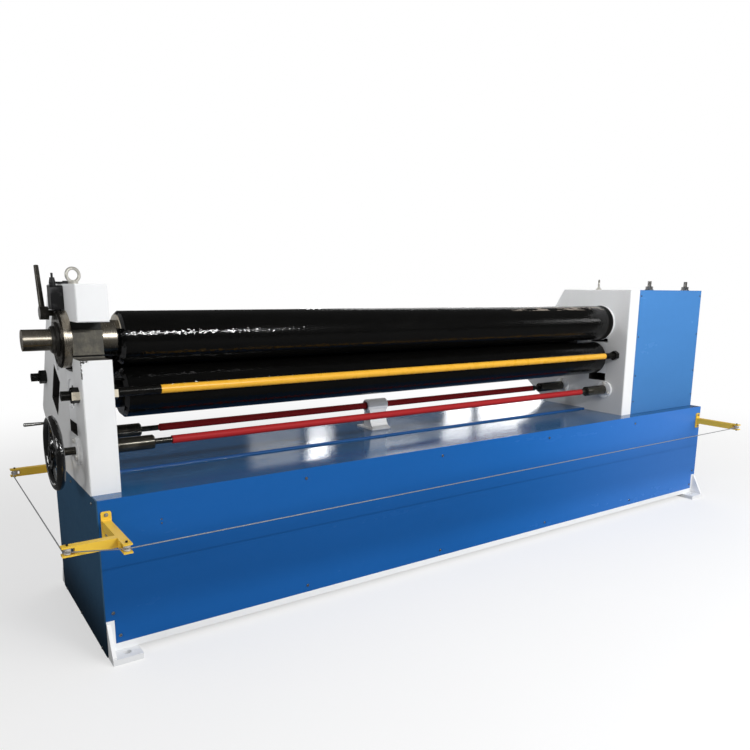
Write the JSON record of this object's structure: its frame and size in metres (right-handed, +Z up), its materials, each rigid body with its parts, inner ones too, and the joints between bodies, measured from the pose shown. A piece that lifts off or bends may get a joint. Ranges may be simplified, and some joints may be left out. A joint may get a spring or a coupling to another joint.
{
  "type": "three-roll plate bending machine",
  "caption": "Three-roll plate bender: long rolls between end frames on a sheet-metal bed, with handwheel, adjusting shafts, gear housing and stop rope.",
  "frame": {"origin": "on the floor, in the middle of the four anchor bolts", "axes": "+X along the rolls towards the gear housing, +Y to the back, +Z up"},
  "size_m": [3.498, 1.18, 1.2545],
  "materials": {
    "blue_paint": "gloss",
    "grey_paint": "satin",
    "yellow_paint": "gloss",
    "red_paint": "gloss",
    "black_varnish": "gloss",
    "black_enamel": "gloss",
    "machined_steel": "brushed",
    "dark_steel": "oiled",
    "chrome": "polished",
    "wire_rope": "stranded"
  },
  "bodies": {
    "root": {"front_panel": "blue_paint", "rear_panel": "blue_paint", "end_panel_left": "blue_paint", "end_panel_right": "blue_paint", "deck": "blue_paint", "raised_deck": "blue_paint", "long_rails": "grey_paint", "cross_rails": "grey_paint", "foot_front_left": "grey_paint", "foot_front_right": "grey_paint", "foot_rear_left": "grey_paint", "foot_rear_right": "grey_paint", "left_frame": "grey_paint", "right_frame": "grey_paint", "drop_end_block": "machined_steel", "drop_end_cover": "dark_steel", "bearing_ring": "grey_paint", "gear_housing": "blue_paint", "gear_housing_studs": "machined_steel", "front_tie_rod": "yellow_paint", "rear_tie_rod": "yellow_paint", "wheel_flange": "grey_paint", "left_flanges": "grey_paint", "right_flanges": "grey_paint", "centre_bearing": "grey_paint", "lock_block": "dark_steel", "lock_strap": "dark_steel", "eye_bolt_left": "machined_steel", "eye_bolt_right": "machined_steel", "rope_bracket_front_left": "yellow_paint", "rope_bracket_rear_left": "yellow_paint", "rope_bracket_front_right": "yellow_paint", "rope_bracket_rear_right": "yellow_paint", "rope_rollers": "machined_steel", "stop_rope": "wire_rope"},
    "upper_roll": {"upper_roll": "black_varnish", "shaft_nuts": "dark_steel"},
    "lower_carriage": {"lower_block_left": "grey_paint", "lower_block_right": "grey_paint"},
    "lower_roll": {"lower_roll": "black_varnish"},
    "rear_carriage": {"rear_block_left": "grey_paint", "rear_block_right": "grey_paint"},
    "rear_roll": {"rear_roll": "black_varnish"},
    "front_shaft": {"front_shaft": "red_paint", "front_couplings": "dark_steel", "handwheel": "black_enamel", "handwheel_grip": "chrome"},
    "rear_shaft": {"rear_shaft": "red_paint", "rear_couplings": "dark_steel"},
    "lock_handle": {"lock_handle": "dark_steel"}
  },
  "joints": [
    {"name": "upper_roll_spin", "type": "hinge", "parent": "root", "child": "upper_roll", "pos_m": [-1.675, -0.1, 1.018], "axis": [1, 0, 0], "continuous": true},
    {"name": "lower_roll_lift", "type": "slide", "parent": "root", "child": "lower_carriage", "axis": [0, 0, 1], "range_m": [-0.03, 0.005]},
    {"name": "lower_roll_spin", "type": "hinge", "parent": "lower_carriage", "child": "lower_roll", "pos_m": [-1.675, -0.1, 0.832], "axis": [1, 0, 0], "continuous": true},
    {"name": "rear_roll_lift", "type": "slide", "parent": "root", "child": "rear_carriage", "axis": [0, -0.5505, 0.8348], "range_m": [-0.15, 0.005]},
    {"name": "rear_roll_spin", "type": "hinge", "parent": "rear_carriage", "child": "rear_roll", "pos_m": [-1.675, 0.093, 0.932], "axis": [1, 0, 0], "continuous": true},
    {"name": "handwheel_turn", "type": "hinge", "parent": "root", "child": "front_shaft", "pos_m": [-1.675, -0.158, 0.661], "axis": [1, 0, 0], "continuous": true},
    {"name": "rear_shaft_turn", "type": "hinge", "parent": "root", "child": "rear_shaft", "pos_m": [-1.675, 0.135, 0.65], "axis": [1, 0, 0], "continuous": true},
    {"name": "lock_handle_turn", "type": "hinge", "parent": "root", "child": "lock_handle", "pos_m": [-1.729, -0.022, 1.1], "axis": [1, 0, 0], "range_deg": [-50, 70]}
  ]
}
